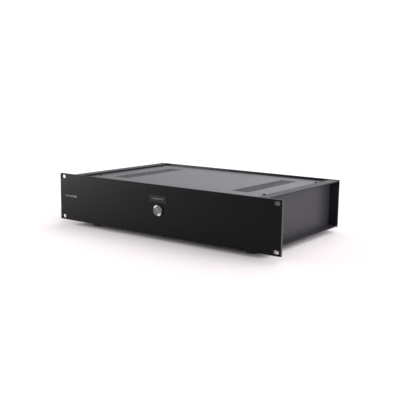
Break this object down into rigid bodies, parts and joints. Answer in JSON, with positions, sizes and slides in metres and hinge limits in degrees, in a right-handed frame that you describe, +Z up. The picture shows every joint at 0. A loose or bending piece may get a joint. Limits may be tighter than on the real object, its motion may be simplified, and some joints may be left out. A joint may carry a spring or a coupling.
{
  "type": "rack power amplifier",
  "caption": "Two-unit rack power amplifier: thick front panel with a round push button, channel side rails, vented flat covers, rear mains module, input sockets and speaker posts.",
  "frame": {"origin": "under the middle of the whole object, on the plane the feet stand on", "axes": "+X to the viewer's right facing the front panel, +Y to the rear, +Z up"},
  "size_m": [0.4826, 0.2932, 0.0971],
  "materials": {
    "panel_black": "satin anodised",
    "badge_black": "satin",
    "steel_black": "satin",
    "rear_black": "satin",
    "rail_black": "satin anodised",
    "cover_black": "satin",
    "zinc": "satin",
    "screw_black": "satin",
    "stainless": "polished",
    "halo_lens": "gloss",
    "button_steel": "satin",
    "seal_rubber": "matte",
    "nickel": "gloss",
    "spring_steel": "satin",
    "moulded_black": "matte",
    "drawer_black": "matte",
    "fuse_glass": "gloss",
    "rocker_black": "gloss",
    "socket_metal": "satin",
    "insert_black": "matte",
    "contact_gold": "gloss",
    "latch_metal": "satin",
    "insulator_black": "gloss",
    "post_gold": "gloss",
    "cap_black": "gloss",
    "cap_red": "gloss",
    "board_green": "satin",
    "ferrite": "matte",
    "capacitor_sleeve": "gloss",
    "plain_aluminium": "satin",
    "coil_copper": "gloss",
    "wire_brown": "satin",
    "wire_grey": "satin",
    "foot_rubber": "matte"
  },
  "bodies": {
    "chassis": {"board_standoffs": "nickel", "bottom_cover": "cover_black", "bottom_cover_screws": "screw_black", "button_halo": "halo_lens", "button_housing": "stainless", "button_nut": "nickel", "button_seal": "seal_rubber", "button_spring": "spring_steel", "button_switch": "moulded_black", "foot_screws": "zinc", "front_left_foot": "foot_rubber", "front_panel": "panel_black", "front_panel_nuts": "zinc", "front_panel_studs": "zinc", "front_right_foot": "foot_rubber", "heat_spreaders": "plain_aluminium", "input_contacts": "contact_gold", "input_inserts": "insert_black", "input_screws": "screw_black", "left_amp_board": "board_green", "left_input_shell": "socket_metal", "left_side_rail": "rail_black", "mains_blades": "nickel", "mains_module": "moulded_black", "mains_screws": "screw_black", "mains_wiring": "wire_brown", "name_badge": "badge_black", "output_coils": "coil_copper", "post_insulators": "insulator_black", "post_nuts": "nickel", "post_studs": "post_gold", "power_transformer": "ferrite", "rear_left_foot": "foot_rubber", "rear_panel": "rear_black", "rear_panel_screws": "screw_black", "rear_right_foot": "foot_rubber", "right_amp_board": "board_green", "right_input_shell": "socket_metal", "right_side_rail": "rail_black", "signal_wiring": "wire_grey", "sub_panel": "steel_black", "sub_panel_screws": "screw_black", "supply_board": "board_green", "supply_capacitors": "capacitor_sleeve", "top_cover": "cover_black", "top_cover_screws": "screw_black"},
    "power_button": {"button_cap": "button_steel"},
    "fuse_drawer": {"fuse_drawer": "drawer_black", "mains_fuse": "fuse_glass"},
    "mains_rocker": {"rocker_paddle": "rocker_black"},
    "left_input_latch": {"left_input_latch": "latch_metal"},
    "right_input_latch": {"right_input_latch": "latch_metal"},
    "left_black_collar": {"left_black_collar": "post_gold"},
    "left_black_cap": {"left_black_cap": "cap_black"},
    "left_red_collar": {"left_red_collar": "post_gold"},
    "left_red_cap": {"left_red_cap": "cap_red"},
    "right_black_collar": {"right_black_collar": "post_gold"},
    "right_black_cap": {"right_black_cap": "cap_black"},
    "right_red_collar": {"right_red_collar": "post_gold"},
    "right_red_cap": {"right_red_cap": "cap_red"}
  },
  "joints": [
    {"name": "power_button_press", "type": "slide", "parent": "chassis", "child": "power_button", "axis": [0, 1, 0], "range_m": [0, 0.002], "stiffness_N_per_m": 1500, "springref_m": -0.0005, "deforming": ["button_spring"]},
    {"name": "fuse_drawer_slide", "type": "slide", "parent": "chassis", "child": "fuse_drawer", "axis": [0, 1, 0], "range_m": [0, 0.016]},
    {"name": "mains_rocker_tilt", "type": "hinge", "parent": "chassis", "child": "mains_rocker", "pos_m": [-0.14, 0.12544, 0.06775], "axis": [1, 0, 0], "range_deg": [0, 20]},
    {"name": "left_latch_press", "type": "slide", "parent": "chassis", "child": "left_input_latch", "axis": [0, -1, 0], "range_m": [0, 0.0015], "stiffness_N_per_m": 2000, "springref_m": -0.0003},
    {"name": "right_latch_press", "type": "slide", "parent": "chassis", "child": "right_input_latch", "axis": [0, -1, 0], "range_m": [0, 0.0015], "stiffness_N_per_m": 2000, "springref_m": -0.0003},
    {"name": "left_black_collar_slide", "type": "slide", "parent": "chassis", "child": "left_black_collar", "axis": [0, 1, 0], "range_m": [0, 0.006]},
    {"name": "left_black_cap_turn", "type": "hinge", "parent": "left_black_collar", "child": "left_black_cap", "pos_m": [0.0955, 0.12804, 0.05305], "axis": [0, 1, 0], "range_deg": [0, 2160]},
    {"name": "left_red_collar_slide", "type": "slide", "parent": "chassis", "child": "left_red_collar", "axis": [0, 1, 0], "range_m": [0, 0.006]},
    {"name": "left_red_cap_turn", "type": "hinge", "parent": "left_red_collar", "child": "left_red_cap", "pos_m": [0.1145, 0.12804, 0.05305], "axis": [0, 1, 0], "range_deg": [0, 2160]},
    {"name": "right_black_collar_slide", "type": "slide", "parent": "chassis", "child": "right_black_collar", "axis": [0, 1, 0], "range_m": [0, 0.006]},
    {"name": "right_black_cap_turn", "type": "hinge", "parent": "right_black_collar", "child": "right_black_cap", "pos_m": [0.0255, 0.12804, 0.05305], "axis": [0, 1, 0], "range_deg": [0, 2160]},
    {"name": "right_red_collar_slide", "type": "slide", "parent": "chassis", "child": "right_red_collar", "axis": [0, 1, 0], "range_m": [0, 0.006]},
    {"name": "right_red_cap_turn", "type": "hinge", "parent": "right_red_collar", "child": "right_red_cap", "pos_m": [0.0445, 0.12804, 0.05305], "axis": [0, 1, 0], "range_deg": [0, 2160]}
  ],
  "couplings": [
    {"joint": "left_black_cap_turn", "follows": "left_black_collar_slide", "rad_per_m": 6283.2},
    {"joint": "left_red_cap_turn", "follows": "left_red_collar_slide", "rad_per_m": 6283.2},
    {"joint": "right_black_cap_turn", "follows": "right_black_collar_slide", "rad_per_m": 6283.2},
    {"joint": "right_red_cap_turn", "follows": "right_red_collar_slide", "rad_per_m": 6283.2}
  ]
}
